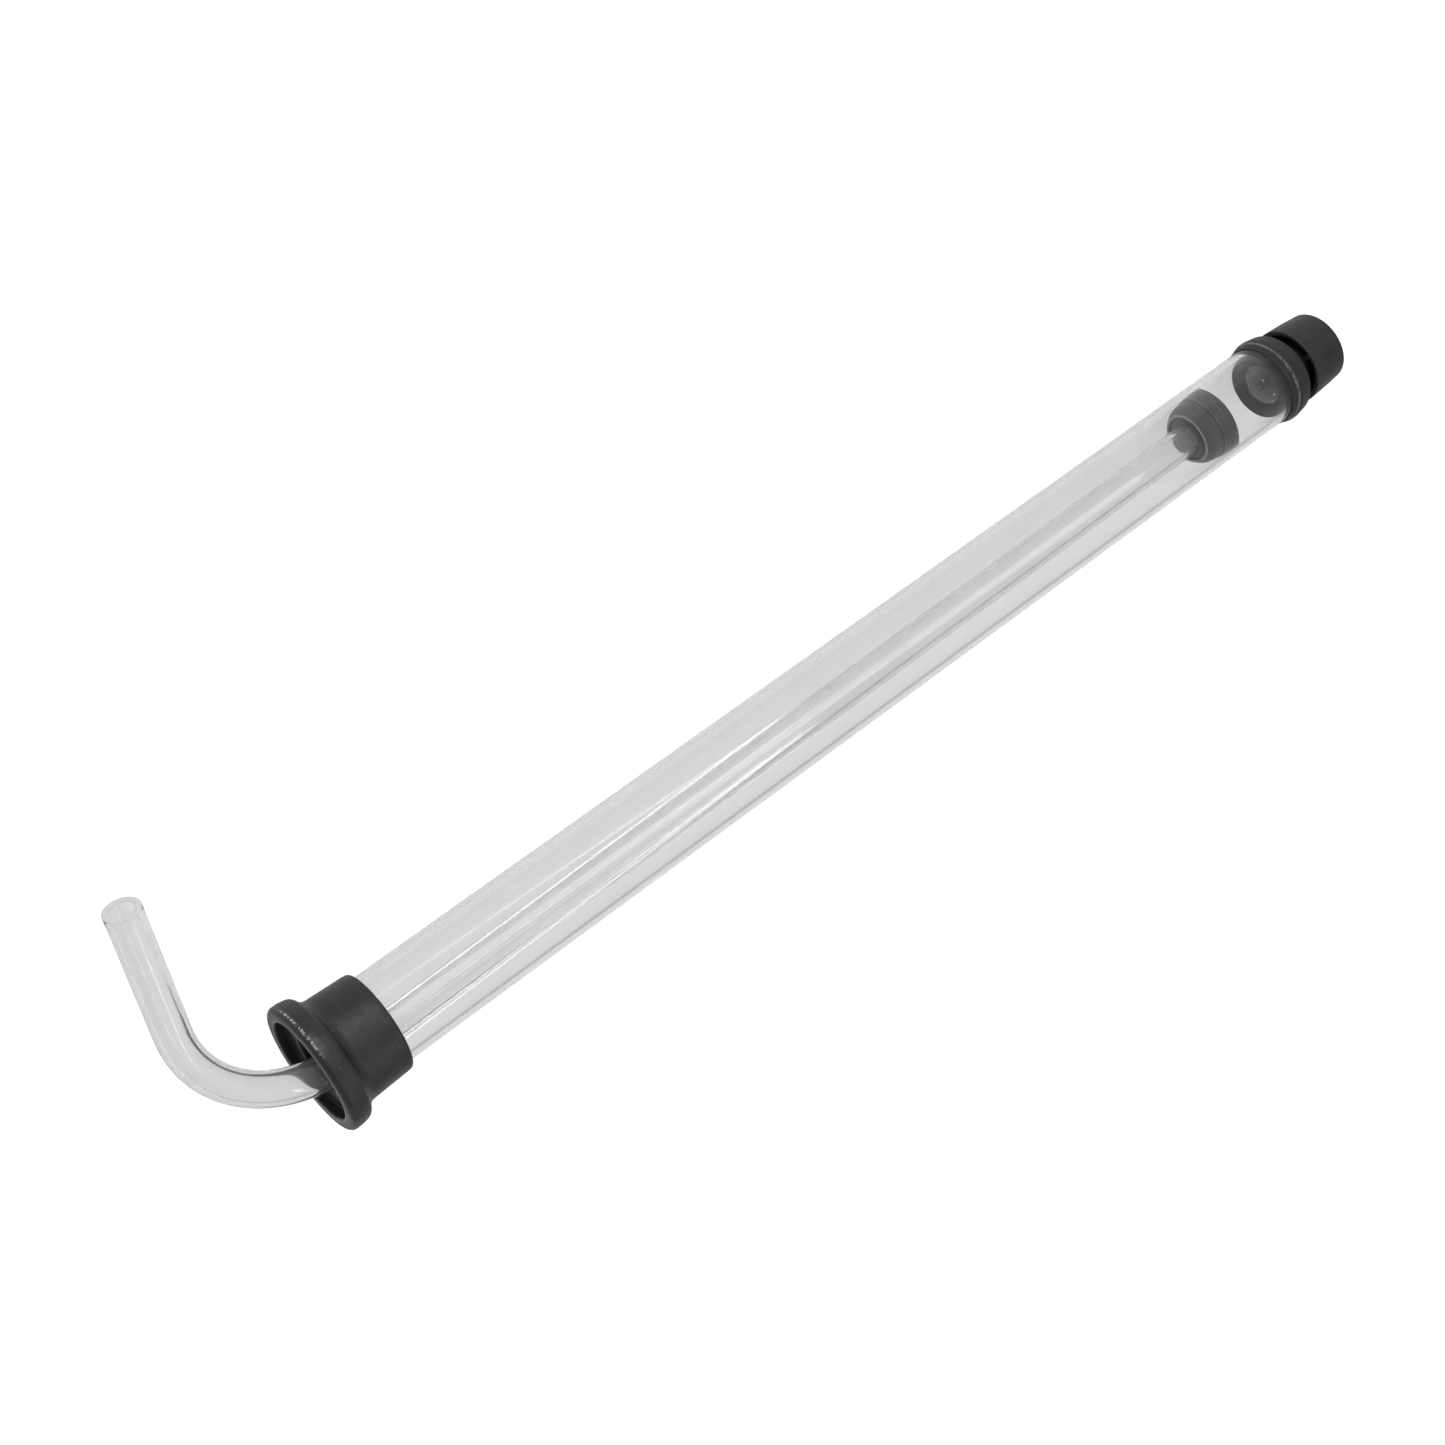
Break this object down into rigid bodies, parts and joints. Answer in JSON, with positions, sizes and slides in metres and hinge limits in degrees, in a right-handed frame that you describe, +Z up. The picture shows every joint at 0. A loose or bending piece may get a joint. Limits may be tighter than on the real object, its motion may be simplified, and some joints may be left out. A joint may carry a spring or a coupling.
{
  "type": "hand-pump siphon",
  "caption": "Clear pump tube with a black guide collar and foot, and a bent clear cane with a piston that starts the siphon.",
  "frame": {"origin": "centre of the foot cap's flat end face, on the pump tube's axis", "axes": "+X runs along the pump tube from the foot to the outlet, +Z is up as the part lies on its side, and the cane's leg points to -Y and slopes down to the table"},
  "size_m": [0.413, 0.0911, 0.0372],
  "materials": {
    "clear_tube": "clear extruded plastic, glossy",
    "clear_cane": "clear bent plastic, glossy",
    "collar_rubber": "black moulded rubber, matt, scuffed at the lip",
    "hub_plastic": "black moulded plastic, satin",
    "seal_rubber": "black moulded rubber, smooth matt",
    "foot_rubber": "black moulded rubber, matt",
    "valve_rubber": "dark grey soft rubber, matt",
    "stem_plastic": "grey moulded plastic, satin",
    "cap_plastic": "black moulded plastic, fine satin grain"
  },
  "bodies": {
    "pump_tube": {"outer_tube": "clear_tube", "guide_collar": "collar_rubber", "foot_base": "foot_rubber", "valve_stem": "stem_plastic"},
    "piston": {"piston_seal": "seal_rubber"},
    "cane": {"racking_cane": "clear_cane", "piston_hub": "hub_plastic"},
    "valve": {"valve_disc": "valve_rubber"},
    "cap": {"foot_cap": "cap_plastic"}
  },
  "joints": [
    {"name": "plunger_slide", "type": "slide", "parent": "pump_tube", "child": "piston", "axis": [1, 0, 0], "range_m": [0, 0.316]},
    {"name": "cane_spin", "type": "hinge", "parent": "piston", "child": "cane", "pos_m": [0.0545, 0, 0], "axis": [-1, 0, 0], "continuous": true},
    {"name": "valve_lift", "type": "slide", "parent": "pump_tube", "child": "valve", "axis": [1, 0, 0], "range_m": [0, 0.002]},
    {"name": "cap_pull", "type": "slide", "parent": "pump_tube", "child": "cap", "axis": [-1, 0, 0], "range_m": [0, 0.012]}
  ]
}
